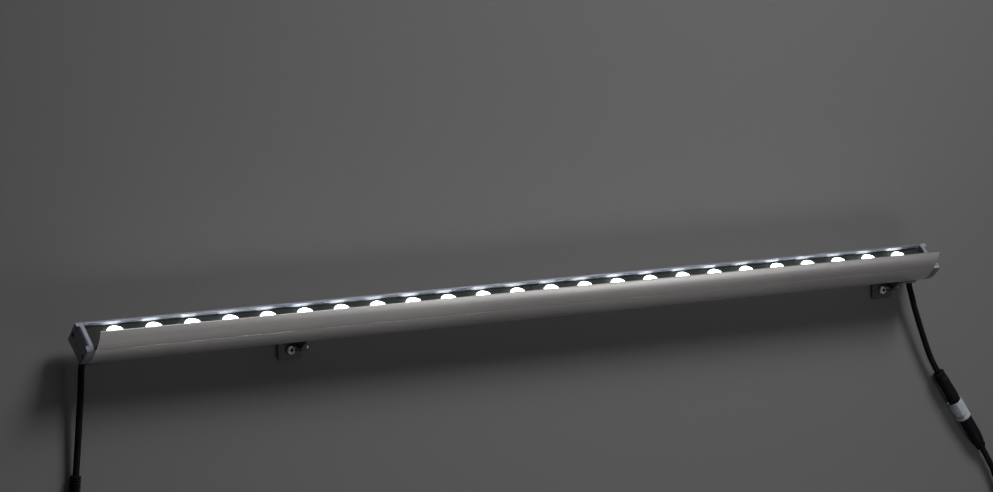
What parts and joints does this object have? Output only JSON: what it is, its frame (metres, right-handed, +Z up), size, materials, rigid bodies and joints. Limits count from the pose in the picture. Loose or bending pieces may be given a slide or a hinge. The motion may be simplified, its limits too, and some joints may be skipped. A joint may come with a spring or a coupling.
{
  "type": "wall washer light",
  "caption": "Slim linear wall washer: a bar of lensed LEDs behind a tall glare visor, tilting on two wall brackets, with a connector lead at each end.",
  "frame": {"origin": "on the wall plane, midway between the two wall screws", "axes": "+X along the lamp to the end with the supply lead, +Y into the wall, +Z up"},
  "size_m": [1.2036, 0.0929, 0.3667],
  "materials": {
    "body_anodised": "silver-grey anodised, satin, fine lengthwise drawing lines",
    "cap_anodised": "darker grey coat, satin",
    "bracket_paint": "near-black powder coat",
    "seal_rubber": "matt",
    "screw_steel": "bright stainless",
    "dark_screw_steel": "blackened",
    "nut_steel": "zinc plated",
    "board_white": "white solder mask",
    "led_phosphor": "phosphor coat",
    "lens_clear": "clear moulded optic",
    "frame_dark": "fine grain",
    "board_green": "solder mask",
    "component_black": "moulded",
    "wire_red": "insulation",
    "entry_plastic": "fine grain",
    "cord_rubber": "smooth jacket",
    "connector_plastic": "moulded",
    "insert_plastic": "moulded",
    "contact_brass": "plated",
    "ring_plastic": "smooth light grey",
    "tie_plastic": "textured",
    "core_plastic": "insulation",
    "core_copper": "bare copper"
  },
  "bodies": {
    "wall_brackets": {"wall_plate_left": "bracket_paint", "wall_plate_right": "bracket_paint", "wall_screws": "screw_steel", "wall_screw_seals": "seal_rubber", "pivot_studs": "screw_steel", "pivot_nuts": "dark_screw_steel", "pivot_washers": "dark_screw_steel", "cord_left": "cord_rubber", "connector_left_shell": "connector_plastic", "connector_left_insert": "insert_plastic", "connector_left_contacts": "contact_brass", "connector_left_seal": "seal_rubber", "cord_right": "cord_rubber", "connector_right_shell": "connector_plastic", "connector_right_pins": "contact_brass", "mating_collar": "ring_plastic", "mating_connector_shell": "connector_plastic", "supply_lead": "cord_rubber", "supply_coil": "cord_rubber", "coil_tie": "tie_plastic", "supply_cores": "core_plastic", "supply_core_tips": "core_copper"},
    "lamp": {"arm_clamp_bolts": "dark_screw_steel", "end_cap_left": "cap_anodised", "end_cap_right": "cap_anodised", "end_cap_screws": "screw_steel", "end_gasket_left": "seal_rubber", "end_gasket_right": "seal_rubber", "entry_block_left": "entry_plastic", "entry_block_right": "entry_plastic", "entry_block_screws": "dark_screw_steel", "entry_grommet_left": "seal_rubber", "entry_grommet_right": "seal_rubber", "glare_visor": "body_anodised", "housing": "body_anodised", "led_board_left": "board_white", "led_board_right": "board_white", "led_board_screws": "screw_steel", "led_emitters": "led_phosphor", "lens_frame_left": "frame_dark", "lens_frame_right": "frame_dark", "lenses_left": "lens_clear", "lenses_right": "lens_clear", "regulator_board": "board_green", "regulator_components": "component_black", "slot_nut_left": "nut_steel", "slot_nut_right": "nut_steel", "through_wires": "wire_red", "tilt_arm_left": "bracket_paint", "tilt_arm_right": "bracket_paint", "visor_screws": "dark_screw_steel"},
    "coupling_ring_body": {"coupling_ring": "ring_plastic"}
  },
  "joints": [
    {"name": "lamp_tilt", "type": "hinge", "parent": "wall_brackets", "child": "lamp", "pos_m": [0, -0.011, 0.0026], "axis": [-1, 0, 0], "range_deg": [-45, 23], "deforming": ["cord_left", "cord_right"]},
    {"name": "coupling_ring_spin", "type": "hinge", "parent": "wall_brackets", "child": "coupling_ring_body", "pos_m": [0.46085, -0.00813, -0.13604], "axis": [0.5709, 0.0214, -0.8207], "continuous": true}
  ]
}
